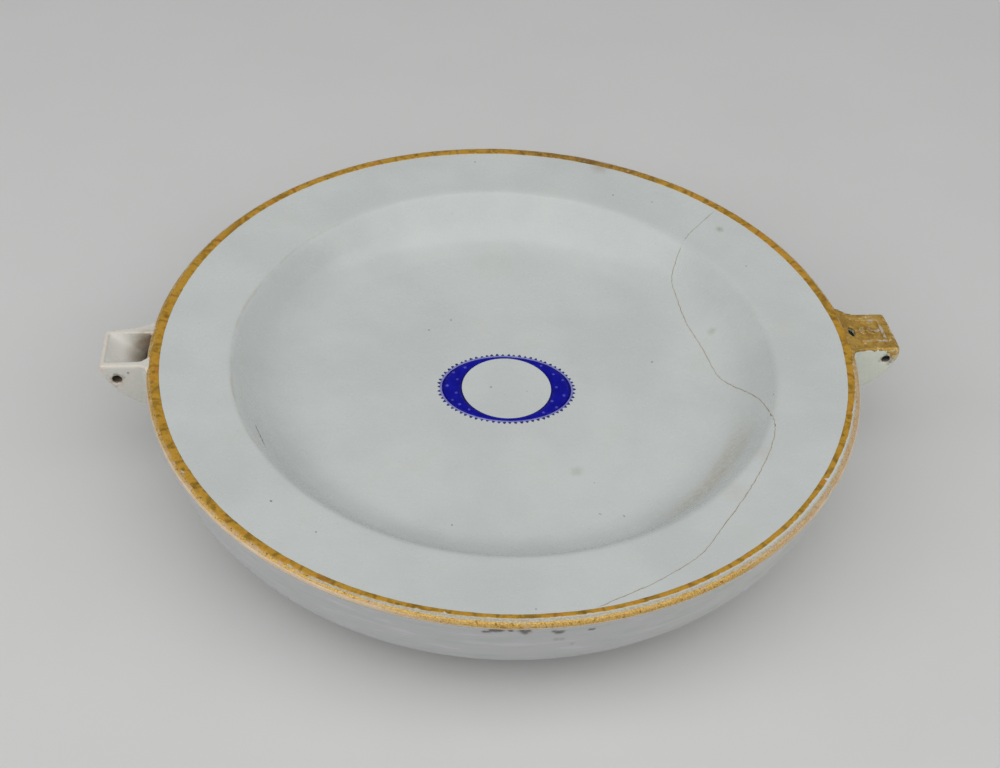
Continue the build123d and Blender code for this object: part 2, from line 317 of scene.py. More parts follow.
class Wire:
    """Output of a shader node, which adds and multiplies like a number."""

    def __init__(self, look, socket):
        self.look = look
        self.socket = socket

    def __add__(self, other):
        return self.look.math("ADD", self, other)

    def __sub__(self, other):
        return self.look.math("SUBTRACT", self, other)

    def __rsub__(self, other):
        return self.look.math("SUBTRACT", other, self)

    def __mul__(self, other):
        return self.look.math("MULTIPLY", self, other)

    def __abs__(self):
        return self.look.math("ABSOLUTE", self)

    __radd__ = __add__
    __rmul__ = __mul__


class Look:
    """One material and its colour so far: each method adds nodes and gives back their output."""

    def __init__(self, name):
        self.material = bpy.data.materials.new(name)
        self.material.use_nodes = True
        self.tree = self.material.node_tree
        self.surface = self.tree.nodes["Principled BSDF"]
        self.place = self.add("ShaderNodeTexCoord", {})["Object"]

    def feed(self, socket, value):
        if isinstance(value, Wire):
            self.tree.links.new(value.socket, socket)
        else:
            socket.default_value = value

    def add(self, kind, inputs, **settings):
        """Outputs by name of a new node, after its inputs are fed by name or number."""
        node = self.tree.nodes.new(kind)
        for name, value in settings.items():
            setattr(node, name, value)
        for name, value in inputs.items():
            self.feed(node.inputs[name], value)
        return {socket.name: Wire(self, socket) for socket in node.outputs if socket.enabled}

    def math(self, operation, first, second=0.0):
        return self.add("ShaderNodeMath", {0: first, 1: second}, operation=operation)["Value"]

    def step(self, value, low, high):
        """0 below low, 1 above high and a smooth climb between; high may be the lower one."""
        falling = float(high < low)
        inputs = {"Value": value, "From Min": min(low, high), "From Max": max(low, high)}
        inputs.update({"To Min": falling, "To Max": 1 - falling})
        return self.add("ShaderNodeMapRange", inputs, interpolation_type="SMOOTHSTEP", clamp=True)["Result"]

    def noise(self, size, detail=2.0, roughness=0.5, distortion=0.0, vector=None):
        """Soft noise from 0 to 1 whose patches are about this size in metres."""
        inputs = {"Vector": vector or self.place, "Scale": 1 / size, "Detail": detail}
        inputs.update({"Roughness": roughness, "Distortion": distortion})
        return self.add("ShaderNodeTexNoise", inputs)["Fac"]

    def cells(self, size):
        """Cell pattern: the distance from a cell's point in cells, and a random value for each cell."""
        cell = self.add("ShaderNodeTexVoronoi", {"Vector": self.place, "Scale": 1 / size}, feature="F1")
        return cell["Distance"], self.axes(cell["Color"])[0]

    def cell_edge(self, vector):
        """Distance to the border between cells of size 1."""
        inputs = {"Vector": vector, "Scale": 1.0}
        return self.add("ShaderNodeTexVoronoi", inputs, feature="DISTANCE_TO_EDGE")["Distance"]

    def axes(self, vector):
        return list(self.add("ShaderNodeSeparateXYZ", {0: vector}).values())

    def stored(self, name):
        """Value that the mesh stores at its points under this name."""
        return self.add("ShaderNodeAttribute", {}, attribute_name=name)["Fac"]

    def vector(self, x, y, z):
        return self.add("ShaderNodeCombineXYZ", {0: x, 1: y, 2: z})["Vector"]

    def distance(self, point):
        inputs = {0: self.place, 1: tuple(point)}
        return self.add("ShaderNodeVectorMath", inputs, operation="DISTANCE")["Value"]

    def mix(self, share, first, second):
        inputs = {"Factor": share, 6: first, 7: second}
        return self.add("ShaderNodeMix", inputs, data_type="RGBA")["Result"]

    def blend(self, share, first, second):
        inputs = {"Factor": share, 2: first, 3: second}
        return self.add("ShaderNodeMix", inputs, data_type="FLOAT")["Result"]

    def ring(self):
        """Distance from the plate's axis, angle round it and height."""
        x, y, z = self.axes(self.place)
        return self.math("SQRT", x * x + y * y), self.math("ARCTAN2", y, x), z

    def tint(self, share, colour):
        """Lay a share of this colour over the look's own."""
        self.colour = self.mix(share, self.colour, colour)

    def finish(self, roughness, height, metallic=0.0, ior=1.5):
        """The material, with its surface raised by a height in millimetres."""
        normal = self.add("ShaderNodeBump", {"Distance": mm, "Strength": 1.0, "Height": height})["Normal"]
        inputs = {"Base Color": self.colour, "Roughness": roughness, "Metallic": metallic}
        inputs.update({"Normal": normal, "IOR": ior})
        for name, value in inputs.items():
            self.feed(self.surface.inputs[name], value)
        return self.material


def srgb(*levels):
    """Linear colour of an sRGB colour given in 0 to 255."""
    shares = [level / 255 for level in levels]
    return *(s / 12.92 if s <= 0.04045 else ((s + 0.055) / 1.055) ** 2.4 for s in shares), 1.0


glaze_pale = srgb(212, 216, 213)
glaze_cool = srgb(204, 209, 207)
glaze_warm = srgb(209, 210, 202)
lug_white = srgb(222, 218, 208)
lug_green = srgb(226, 230, 214)
# Darker grey for the basin's side than the plate's glaze: painted shade for the side that faces down, away
# from the light
side_shade_grey = srgb(189, 188, 190)
worn_cream = srgb(232, 216, 196)
speck_brown = srgb(110, 98, 78)
tan_stain = srgb(176, 158, 122)
greenish = srgb(160, 158, 132)


def glaze(look):
    """Roughness and height of the uneven blue-white glaze, with its specks and pits."""
    reach, angle, level = look.ring()
    look.colour = look.mix(look.step(look.noise(38 * mm, 3, 0.55), 0.3, 0.7), glaze_cool, glaze_pale)
    look.tint(0.5 * look.step(look.noise(21 * mm, 4, 0.6, 0.4), 0.55, 0.8), glaze_warm)
    look.tint(0.16 * look.step(look.noise(1.6 * mm, 2, 0.6), 0.62, 0.8), glaze_cool)
    gap, own = look.cells(9 * mm)
    speck = look.step(gap, 0.035, 0.02) * look.step(own, 0.8, 0.82)
    gap, own = look.cells(3.2 * mm)
    pit = look.step(gap, 0.1, 0.05) * look.step(own, 0.84, 0.86)
    look.tint(0.75 * speck, speck_brown)
    look.tint(0.25 * pit, srgb(150, 152, 146))
    turning = look.noise(1.0, 2, 0.6, vector=look.vector(700 * reach, 2.5 * angle, 700 * level))
    peel = look.noise(2.4 * mm)
    swell = look.noise(13 * mm)
    height = 0.045 * peel + 0.014 * turning + 0.16 * swell - 0.03 * pit
    return 0.2 + 0.14 * look.noise(6 * mm, 4, 0.7), height


def porcelain(name, stains_and_painted_light=(), tone=None, edge_wear_and_crease_shade=False, throat_stain_and_shade=None, plate=False, side=False):
    """Glazed porcelain with stains, painted shade and painted highlights at (place, radius, colour,
    strength), its own tone or a darker tone of painted shade, its wear, and dirt and painted shade in its
    creases and throat.
    """
    look = Look(name)
    roughness, height = glaze(look)
    ragged = 6 * mm * (look.noise(2.6 * mm, 5, 0.7) - 0.5)
    # The tone covers most of the glaze's colour; for the basin's side it is a darker grey of painted shade
    if tone is not None:
        look.tint(0.8, tone)
    if side:
        height = 0.15 * height
        roughness = roughness + 0.12
        side_streaks(look)
    for place, radius, mark_colour, strength in stains_and_painted_light:
        near = look.distance(place) + min(1, radius / (4 * mm)) * ragged
        look.tint(strength * look.step(near, radius, 0.0), mark_colour)
    if plate:
        shoulder_wear(look)
        lip_wear_and_highlight(look)
    if throat_stain_and_shade is not None:
        # Brown stain and painted shade that darken the spout towards its throat
        near = look.distance(throat_stain_and_shade) + 0.5 * ragged
        look.tint(0.85 * look.step(near, 12 * mm, 1 * mm), srgb(126, 102, 66))
    if edge_wear_and_crease_shade:
        proud = look.stored("proud")
        uneven = look.noise(3 * mm, 4, 0.7)
        rubbed = look.step(proud, 0.2, 0.6) * look.step(uneven, 0.25, 0.6)
        look.tint(0.6 * rubbed, worn_cream)
        # Brown dirt and painted shade in the creases
        crease_dirt_and_shade = look.step(proud, -0.15, -0.5) * look.step(uneven, 0.3, 0.7)
        look.tint(0.35 * crease_dirt_and_shade, srgb(132, 116, 90))
    return look.finish(roughness, height)


def side_streaks(look):
    """Greenish and lilac streaks that run round the basin's side, which is paler at the right."""
    angle, level = look.ring()[1:]
    streak = look.noise(1.0, 3, 0.6, vector=look.vector(7.0 * angle, 0.0, 420.0 * level))
    rightwards = look.step(look.axes(look.place)[0], 10 * mm, 90 * mm)
    look.tint(0.7 * rightwards, srgb(208, 209, 202))
    look.tint(0.7 * look.step(streak, 0.5, 0.66), srgb(182, 192, 184))
    look.tint(0.65 * look.step(streak, 0.47, 0.34), srgb(210, 205, 213))


def shoulder_wear(look):
    """Thin tan line at the left of the shoulder and a grimy stretch low on the right of the wall."""
    grimy_radius = 85 * mm
    grimy_heading = radians(-39)
    reach, angle = look.ring()[:2]
    wander = 2.5 * mm * (look.noise(24 * mm, 3) - 0.5)
    line = look.step(abs(reach - shoulder_radius + wander), 0.7 * mm, 0.05 * mm)
    patchy = look.step(look.noise(13 * mm, 4, 0.65), 0.35, 0.65)
    leftwards = look.step(look.axes(look.place)[0], -40 * mm, -88 * mm)
    look.tint(line * patchy * (0.05 + 0.26 * leftwards), tan_stain)
    band = look.step(abs(reach - grimy_radius + 2.0 * wander), 6 * mm, 0.5 * mm)
    sector = look.step(abs(angle - grimy_heading), radians(26), radians(6))
    fine = look.step(look.noise(2.2 * mm, 5, 0.75), 0.35, 0.7)
    look.tint(band * sector * (0.16 + 0.34 * fine), tan_stain)


def lip_wear_and_highlight(look):
    """Greenish glaze by the gilding, tan specks of rubbed gold and a cream line where the lip is bare, partly
    a painted highlight.
    """
    reach, angle, level = look.ring()
    speckle = look.noise(0.8 * mm, 4, 0.75)
    outside = look.step(reach, 119.3 * mm, 120.2 * mm)
    look.tint(0.6 * outside, srgb(192, 190, 164))
    elsewhere = look.step(abs(angle - front_heading), radians(45), radians(75))
    specks = outside * look.step(speckle, 0.42, 0.56) * (0.5 + 0.4 * elsewhere)
    look.tint(specks, srgb(178, 138, 84))
    # Cream line low on the lip: bare worn glaze and partly a painted highlight on the lip's lower rounding
    low = look.step(reach, 121.2 * mm, 121.5 * mm) * look.step(level, 45.9 * mm, 45.5 * mm)
    line = low * (look.step(level, 44.1 * mm, 44.6 * mm) * look.step(speckle, 0.25, 0.5))
    look.tint(0.8 * line, srgb(236, 212, 190))


def gilded(name, bright, dull, bole, worn_to, coverage, grain, metallic, tip_wear):
    """Old gilding: bright and dull patches, brown bole showing, and a pale ground where it wore away."""
    look = Look(name)
    patch = look.noise(5 * mm, 4, 0.7, 0.6)
    grains = look.noise(grain, 3, 0.75)
    small = look.noise(grain * 3.5, 4, 0.7)
    look.colour = look.mix(look.step(patch, 0.35, 0.65), dull, bright)
    look.tint(0.7 * look.step(grains, 0.5, 0.72), bole)
    at_tip = look.step(look.axes(look.place)[0], 135 * mm, 138.5 * mm)
    worn = look.step(0.6 * small + 0.4 * patch + tip_wear * at_tip, coverage, coverage + 0.05)
    look.tint(worn, worn_to)
    roughness = look.blend(worn, 0.3 + 0.3 * grains, 0.25)
    return look.finish(roughness, 0.05 * grains - 0.03 * worn, metallic * (1.0 - worn))


def band_gilding(name):
    """Flat ochre gold in brush strokes, with orange and olive patches and a dark line at each joint."""
    dirty_heading = radians(70)
    look = Look(name)
    reach, angle = look.ring()[:2]
    patch = look.noise(4 * mm, 4, 0.65, 0.5)
    grains = look.noise(0.5 * mm, 3, 0.75)
    look.colour = look.mix(look.step(patch, 0.3, 0.55), srgb(164, 122, 26), srgb(216, 166, 56))
    look.tint(0.75 * look.step(patch, 0.55, 0.66), srgb(206, 134, 46))
    look.tint(0.4 * look.step(grains, 0.5, 0.75), srgb(150, 108, 26))
    joint = look.step(look.cell_edge(look.vector(9.0 * angle, 40.0 * reach, 0.0)), 0.06, 0.0)
    blot_gap, blot_own = look.cells(3.6 * mm)
    blot_gap = blot_gap + 0.5 * (look.noise(1.2 * mm, 3, 0.7) - 0.5)
    blot = look.step(blot_gap, 0.36, 0.08) * look.step(blot_own, 0.2, 0.5)
    look.tint(look.math("MAXIMUM", 0.5 * joint, 0.7 * blot), srgb(120, 90, 26))
    from_dirty = abs(angle - dirty_heading)
    dirty = look.step(from_dirty, radians(18), radians(6)) * look.step(grains, 0.42, 0.55)
    look.tint(0.65 * dirty, srgb(112, 88, 60))
    backwards = look.step(look.axes(look.place)[1], 20 * mm, 110 * mm)
    worn = look.step(look.noise(1.4 * mm, 4, 0.75) + 0.1 * backwards, 0.68, 0.78)
    look.tint(0.85 * worn, srgb(196, 188, 158))
    height = 0.05 * grains + 0.06 * patch - 0.04 * joint
    return look.finish(0.34 + 0.3 * grains, height, 0.35 * (1.0 - worn))


def edge_gilding(name):
    """Gold on the lip: bright and granular at the front, left and vent lug, rubbed to tan elsewhere, with a
    cream line low at the front that is bare glaze and partly a painted highlight.
    """
    right_heading = radians(-38)
    look = Look(name)
    reach, angle, level = look.ring()
    patch = look.noise(6 * mm, 4, 0.6, 0.5)
    grains = look.noise(0.45 * mm, 3, 0.8)
    flecks = look.noise(1.1 * mm, 4, 0.8)
    from_front = abs(angle - front_heading)
    at_front = look.step(from_front, radians(72), radians(14))
    at_left = look.step(look.axes(look.place)[0], -70 * mm, -108 * mm)
    by_vent = look.step(abs(angle - vent_heading), vent_spread, 0.09)
    at_right = look.step(abs(angle - right_heading), radians(34), radians(14))
    upper = at_right * look.step(level, 46.1 * mm, 46.5 * mm)
    rich = patch + 0.26 * at_front + 0.16 * at_left + 0.4 * by_vent - 0.3 * upper
    rich = look.step(rich, 0.52, 0.68)
    rubbed = look.mix(look.step(flecks, 0.35, 0.62), srgb(186, 152, 100), srgb(230, 202, 162))
    gold = look.mix(look.step(grains, 0.38, 0.58), srgb(194, 144, 62), srgb(236, 200, 118))
    look.colour = look.mix(rich, rubbed, gold)
    look.tint(0.8 * look.step(flecks, 0.55, 0.63), srgb(124, 84, 38))
    bare = look.step(flecks, 0.36, 0.3) * look.step(level, 45.6 * mm, 46.2 * mm)
    look.tint(bare * (0.4 - 0.4 * by_vent), srgb(196, 186, 150))
    # Cream line low on the lip near the front: bare worn glaze and partly a painted highlight
    lower_lip_wear_and_highlight = look.step(level, 46 * mm, 45.6 * mm)
    low = look.math("MAXIMUM", lower_lip_wear_and_highlight, look.step(reach, 121.5 * mm, 121.75 * mm))
    low = low * look.step(from_front, radians(16), radians(40))
    look.tint(0.85 * low, srgb(246, 222, 194))
    return look.finish(0.26 + 0.4 * grains, 0.16 * grains + 0.1 * flecks, 0.15 + 0.5 * rich)


def enamel(name, deep, light, ior=1.5):
    """Thick coloured enamel, a little uneven in tone and in gloss."""
    look = Look(name)
    look.colour = look.mix(look.step(look.noise(3 * mm, 4, 0.65), 0.3, 0.75), deep, light)
    grain = look.noise(0.5 * mm, 3, 0.7)
    return look.finish(0.3 + 0.15 * grain, 0.02 * grain + 0.03 * look.noise(2 * mm), ior=ior)


def bare_clay(name, clay, flashed):
    """Unglazed fired clay with grit and patches flashed warmer in the kiln."""
    look = Look(name)
    grit = look.noise(0.6 * mm, 4, 0.7)
    look.colour = look.mix(look.step(look.noise(14 * mm, 4, 0.6), 0.4, 0.7), clay, flashed)
    look.tint(0.5 * look.step(grit, 0.55, 0.75), srgb(120, 104, 84))
    return look.finish(0.7 + 0.25 * grit, 0.12 * grit + 0.1 * look.noise(5 * mm))


def grime(name, dark, light):
    """Matt brown dirt and iron burnt into the glaze."""
    look = Look(name)
    fine = look.noise(0.5 * mm, 4, 0.7)
    look.colour = look.mix(look.step(fine, 0.35, 0.7), dark, light)
    return look.finish(0.4 + 0.3 * fine, 0.05 * fine)


# Camera, from the photograph's perspective

camera_place = Vector((-47.5, -388.9, 386.7)) * mm
camera_drop = radians(42.47)
camera_heading = radians(6.8)
camera_roll = radians(3.22)
lens = 54.0
sensor_width = 36.0
photo_width = 1000
photo_height = 768

ahead = Vector((
    sin(camera_heading) * cos(camera_drop), cos(camera_heading) * cos(camera_drop), -sin(camera_drop)))
level_right = Vector((cos(camera_heading), -sin(camera_heading), 0))
level_up = level_right.cross(ahead)
right = level_right * cos(camera_roll) + level_up * sin(camera_roll)
up = level_up * cos(camera_roll) - level_right * sin(camera_roll)

camera = placed("camera", bpy.data.cameras.new("camera"))
camera.data.lens = lens
camera.data.sensor_width = sensor_width
camera.data.clip_start = 10 * mm
camera.matrix_world = Matrix.Translation(camera_place) @ Matrix((right, up, -ahead)).transposed().to_4x4()
bpy.context.scene.camera = camera


def seen_at(tree, pixel):
    """Point and normal of a surface where the photograph shows this pixel."""
    focal = photo_width * lens / sensor_width
    across = (pixel[0] - photo_width / 2) / focal
    down = (pixel[1] - photo_height / 2) / focal
    return tree.ray_cast(camera_place, (ahead + right * across - up * down).normalized())[:2]


def gathered(meshes):
    """Points and faces of several meshes, one after the other."""
    points = []
    faces = []
    for mesh in meshes:
        start = len(points)
        points += [tuple(vertex.co) for vertex in mesh.vertices]
        faces += [[start + index for index in polygon.vertices] for polygon in mesh.polygons]
    return points, faces


def surface_of(*pieces):
    """Tree for casting rays at these pieces."""
    return BVHTree.FromPolygons(*gathered(piece.data for piece in pieces))


# Plate, basin, seam and foot


def aperture_cutter(side):
    """Form of the way through the basin's wall on one side, with its long edges rounded."""
    start, end = sorted((side * aperture_inner, side * aperture_outer))
    low = Vector((start, lug_middle - aperture_width / 2, aperture_low))
    high = Vector((end, lug_middle + aperture_width / 2, aperture_high))
    middle = (high + low) / 2
    half = (high - low) / 2
    corners = [(-half.y, -half.z), (half.y, -half.z), (half.y, half.z), (-half.y, half.z)]
    ring = rounded([(corner, aperture_rounding) for corner in corners], 1 * mm)
    return capped_rings(
        "aperture_cutter", [[(x, middle.y + y, middle.z + z) for y, z in ring] for x in (start, end)])


plate_outline = rounded(plate_form())
basin_outline = rounded(basin_form())
glazed_plate = lathe("glazed_plate", plate_outline)
glazed_basin = lathe("glazed_basin", basin_outline)
for side in (-1, 1):
    cut(glazed_basin, aperture_cutter(side))

seam_outline = rounded(
    [
        ((basin_radius - seam_reach, basin_top - seam_below), 0),
        ((basin_radius + seam_bulge, basin_top - seam_below), seam_rounding),
        ((basin_radius + seam_bulge, seat_level + seam_above), seam_rounding),
        ((basin_radius - seam_reach, seat_level + seam_above), 0),
    ],
    0.3 * mm,
)
slip_seam = lathe("slip_seam", seam_outline)

foot_inner = foot_radius - foot_width
foot_outline = rounded(
    [
        ((foot_inner + foot_taper, 0), foot_rounding),
        ((foot_radius - foot_taper, 0), foot_rounding),
        ((foot_radius, foot_height + foot_overlap), 0),
        ((foot_inner, foot_height + foot_overlap), 0),
    ],
    0.4 * mm,
)
biscuit_foot = lathe("biscuit_foot", foot_outline)

dress(glazed_plate, "porcelain", "well_plate")
dress(glazed_basin, "porcelain", "water_basin")
dress(slip_seam, "porcelain", "rim_seam")
dress(biscuit_foot, "biscuit", "foot_ring")

plate_surface = surface_of(glazed_plate)
basin_surface = surface_of(glazed_plate, glazed_basin, slip_seam)

# Gilding laid along the plate's own outline


def outline_from_shoulder():
    """Distance, place and outward normal along the plate from the shoulder over the lip."""
    first = int(np.argmax(plate_outline[:, 0] > shoulder_radius + 5 * mm))
    last = int(np.argmax(plate_outline[:, 0])) + 1
    while plate_outline[last, 1] > seat_level + 0.1 * mm:
        last += 1
    run = plate_outline[first:last]
    steps = np.diff(run, axis=0)
    along = np.concatenate([[0], np.cumsum(np.hypot(steps[:, 0], steps[:, 1]))])
    tangents = np.gradient(run, along, axis=0)
    normals = np.stack([-tangents[:, 1], tangents[:, 0]], axis=1)
    return along, run, normals / np.linalg.norm(normals, axis=1)[:, None]


lip_along, lip_run, lip_normals = outline_from_shoulder()
gilt_turns = np.linspace(0, 2 * pi, gilt_segments, endpoint=False)


def along_at_radius(radius):
    """Distance along the outline at a radius on the flange's top."""
    top = int(np.argmax(lip_run[:, 0]))
    return np.interp(radius, lip_run[: top + 1, 0], lip_along[: top + 1])


def around(stations):
    """Edge round the rim through stations of (heading in degrees, radius in millimetres)."""
    headings, values = zip(*stations)
    fine = np.interp(np.degrees(gilt_turns), headings, values, period=360) * mm
    padded = np.concatenate([fine[-30:], fine, fine[:30]])
    return along_at_radius(np.convolve(padded, np.ones(61) / 61, "valid"))


def wobble(reach, periods):
    """Smooth seeded wandering of a hand-drawn edge round the rim."""
    total = np.zeros_like(gilt_turns)
    for period in periods:
        total += np.sin(gilt_turns * period + chance.uniform(0, 2 * pi)) * chance.uniform(0.5, 1)
    return reach * total / len(periods)


def brush_strokes(count, depth):
    """How far an edge steps in where each stroke of the gilder's brush starts."""
    joints = sorted(chance.uniform(0, 2 * pi) for stroke in range(count))
    share = np.interp(gilt_turns, joints, np.arange(count), period=2 * pi) % 1
    return depth * np.exp(-share / 0.12)


def towards(heading, spread):
    """1 at a heading round the rim, falling to 0 at a spread from it."""
    gap = np.abs(np.angle(np.exp(1j * (gilt_turns - heading))))
    share = np.clip(1 - gap / spread, 0, 1)
    return share * share * (3 - 2 * share)


def gilt_strip(name, near, far, thickness, rows):
    """Skin of gold between two edges, which are distances along the outline at each angle."""
    far = np.maximum(far, near + 0.1 * mm)
    stations = [[share, thickness] for share in np.linspace(0, 1, rows)] + [[0.75, 0], [0.25, 0]]
    for under in (0, rows - 1, rows, rows + 1):
        stations[under][1] = -thickness
    points = []
    for share, lift in stations:
        at = near + (far - near) * share
        place = [np.interp(at, lip_along, column) for column in lip_run.T]
        normal = [np.interp(at, lip_along, column) for column in lip_normals.T]
        radius, height = place[0] + lift * normal[0], place[1] + lift * normal[1]
        points.append(np.stack([radius * np.cos(gilt_turns), radius * np.sin(gilt_turns), height], axis=1))
    faces = grid_faces(rows + 2, gilt_segments, True, True)
    return tidy_mesh(new_piece(name, np.concatenate(points), faces))


band_inner_stations = [
    (0, 117.9), (40, 117.5), (90, 117.3), (135, 117.8), (165, 117.2), (200, 117.5), (232, 118.0),
    (270, 117.9), (300, 117.4), (330, 116.8),
]
band_outer_stations = [
    (0, 121.2), (60, 121.3), (150, 121.3), (170, 120.9), (205, 121.0), (235, 120.7), (255, 119.9),
    (290, 119.7), (325, 119.1), (345, 119.9),
]
edge_inner_stations = [
    (0, 121.0), (60, 121.2), (150, 121.0), (172, 120.4), (215, 120.4), (245, 120.8), (270, 121.0),
    (300, 120.7), (335, 120.0), (350, 120.4),
]
edge_end_radius = 121.0 * mm
edge_run = 2.1 * mm
band_losses = [
    (-151.6, 0.8, 0.9 * mm), (-103.2, 0.2, 0.9 * mm), (-35.2, 0.2, 1.5 * mm), (66.0, 2.5, 0.7 * mm),
]
loss_blur = 1.6
stroke_count = 84
stroke_step = 0.35 * mm
vent_flare = 2.6 * mm
edge_flare = 0.6 * mm
edge_flare_spread = 0.2
edge_gap = 0.15 * mm
edge_overlap = 0.4 * mm
band_thickness = 0.055 * mm
edge_thickness = 0.03 * mm

band_end = around(band_outer_stations) + wobble(0.2 * mm, (31, 83, 167, 331))
for heading, spread, depth in band_losses:
    band_end = band_end - depth * towards(radians(heading), radians(spread) * loss_blur)
band_end = band_end - brush_strokes(stroke_count, stroke_step)
band_end = band_end + vent_flare * towards(vent_heading, vent_spread)
edge_start = around(edge_inner_stations) + wobble(0.3 * mm, (37, 97, 211, 433))
edge_start = edge_start - edge_flare * towards(vent_heading, edge_flare_spread)
edge_start = np.where(edge_start < band_end + edge_gap, band_end - edge_overlap, edge_start)
band_start = around(band_inner_stations) + wobble(0.12 * mm, (9, 23, 57, 131))
gilt_band_skin = gilt_strip("gilt_band_skin", band_start, band_end, band_thickness, 7)
edge_end = along_at_radius(edge_end_radius) + edge_run + wobble(0.2 * mm, (12, 41, 103, 197))
gilt_edge_skin = gilt_strip("gilt_edge_skin", edge_start, edge_end, edge_thickness, 15)
dress(gilt_band_skin, "gilding", "rim_gilt_band")
dress(gilt_edge_skin, "gilding_edge", "rim_gilt_edge")

# Lugs, luted on by hand

lug_raise = 1.35 * mm
lug_top = vent_top + lug_raise
raise_from = 42.92 * mm
raise_full = 43.0 * mm
wall_reach = 2.4 * mm
ramp_depth = 0.8 * mm
ramp_bite = 0.4 * mm
ramp_root = 0.9 * mm
chunk_margin = 5.5 * mm
chunk_levels = np.linspace(24.5 * mm, 46.2 * mm, 40)
chunk_inset = 0.15 * mm
chunk_depth = 3.2 * mm
scoop_low = (-136.7 * mm, lug_near + 2.1 * mm, 36.5 * mm)
scoop_high = (-121.8 * mm, lug_far - 2.1 * mm, lug_top - 0.5 * mm)
scoop_turns = 260
vent_hole_place = 123.7 * mm
vent_hole_half = (1.25 * mm, 2.6 * mm)
vent_hole_levels = (41 * mm, 48 * mm)
skin_lift = 0.04 * mm
skin_thickness = 0.08 * mm
relief_wear = 0.08 * mm
corner_from = 128 * mm
corner_run = 10 * mm
corner_draw = 1.1 * mm
upper_from = 44 * mm
upper_run = 2.4 * mm
upper_draw = 0.45 * mm


def copied_solids(name, nodes):
    """One mesh that holds the solids of these CAD nodes, raised at the top as the photograph shows."""
    points, faces = gathered(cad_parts[node].data for node in nodes)
    points = np.array(points)
    points[:, 2] += lug_raise * np.clip((points[:, 2] - raise_from) / (raise_full - raise_from), 0, 1)
    return tidy_mesh(new_piece(name, points, faces, warp=False), 1e-7)


def body_chunk(side):
    """Slice of the basin's wall and the lip behind a lug, just under their surface."""
    belly = basin_outline[: int(np.argmax(basin_outline[:, 0])) + 1]
    lip = plate_outline[int(np.argmax(plate_outline[:, 0])):]
    lip = lip[lip[:, 1] > seat_level][::-1]
    radii = np.where(
        chunk_levels < seat_level,
        np.interp(chunk_levels, belly[:, 1], belly[:, 0]),
        np.interp(chunk_levels, lip[:, 1], lip[:, 0]),
    ) - chunk_inset
    wall = (rim_radius**2 - lug_far**2) ** 0.5
    spread = np.linspace(lug_near - chunk_margin, lug_far + chunk_margin, 36) / wall
    points = []
    for back in (0, chunk_depth):
        for level, radius in zip(chunk_levels, radii):
            points += [(side * (radius - back) * cos(a), (radius - back) * sin(a), level) for a in spread]
    rows, columns = len(chunk_levels), len(spread)
    sheet = grid_faces(rows, columns, False, False)
    faces = sheet + [[index + rows * columns for index in face] for face in sheet]
    number = np.arange(rows * columns).reshape(rows, columns)
    sides = number[0], number[1:, -1], number[-1, -2::-1], number[-2:0:-1, 0]
    rim = np.concatenate(sides).tolist()
    for start, end in zip(rim, rim[1:] + rim[:1]):
        faces.append([start, end, end + rows * columns, start + rows * columns])
    return tidy_mesh(new_piece("body_chunk", points, faces, warp=False))


def root_ramp(side, near, far, run, rise, near_flare, far_flare, steps=9):
    """Wedge of slip that climbs from a lug's top to the rim, hollow on top and spreading at the root."""
    low = lug_top - ramp_depth
    rings = []
    for step in range(-1, steps + 1):
        share = max(0, step) / steps
        left = (1 - share) ** 2
        x = side * (rim_radius - ramp_bite + run * share - (ramp_root if step < 0 else 0))
        high = lug_top + rise * left
        start, end = near - near_flare * left, far + far_flare * left
        rings.append([(x, start, low), (x, end, low), (x, end, high), (x, start, high)])
    return capped_rings("root_ramp", rings)


def joined(name, pieces):
    """The pieces as one object."""
    form = bmesh.new()
    for piece in pieces:
        form.from_mesh(piece.data)
        bpy.data.objects.remove(piece)
    mesh = bpy.data.meshes.new(name)
    form.to_mesh(mesh)
    form.free()
    return placed(name, mesh)


def remeshed(piece, voxel, smoothing=0):
    """The piece as one even skin, with its edges softened."""
    remesh = piece.modifiers.new("skin", "REMESH")
    remesh.mode = "VOXEL"
    remesh.voxel_size = voxel
    if smoothing:
        smooth = piece.modifiers.new("soften", "SMOOTH")
        smooth.factor = 0.5
        smooth.iterations = smoothing
    return applied(piece)


def point_rows(mesh, field="co"):
    """This field of all the mesh's points, as rows of three numbers."""
    values = np.empty(len(mesh.vertices) * 3)
    mesh.vertices.foreach_get(field, values)
    return values.reshape(-1, 3)


def edge_ends(mesh):
    """First and second point of all the mesh's edges."""
    ends = np.empty(len(mesh.edges) * 2, int)
    mesh.edges.foreach_get("vertices", ends)
    return ends.reshape(-1, 2).T


def neighbour_sum(values, start, end):
    """Sum over each point's neighbours, which the edges from start to end give."""
    return np.bincount(start, values[end], len(values)) + np.bincount(end, values[start], len(values))


def mark_proud(mesh, softening=4):
    """Store at each point how sharply the surface bulges (above 0) or is creased (below 0)."""
    count = len(mesh.vertices)
    places = point_rows(mesh)
    normals = point_rows(mesh, "normal")
    start, end = edge_ends(mesh)
    gap = places[end] - places[start]
    squared = np.maximum((gap**2).sum(axis=1), 1e-12)
    shares = np.maximum(neighbour_sum(np.ones(count), start, end), 1)
    proud = np.bincount(start, -(normals[start] * gap).sum(axis=1) / squared, count)
    proud += np.bincount(end, (normals[end] * gap).sum(axis=1) / squared, count)
    proud = 2 * mm * proud / shares
    for turn in range(softening):
        proud = 0.5 * proud + 0.5 * neighbour_sum(proud, start, end) / shares
    mesh.attributes.new("proud", "FLOAT", "POINT").data.foreach_set("value", proud.astype(np.float32))


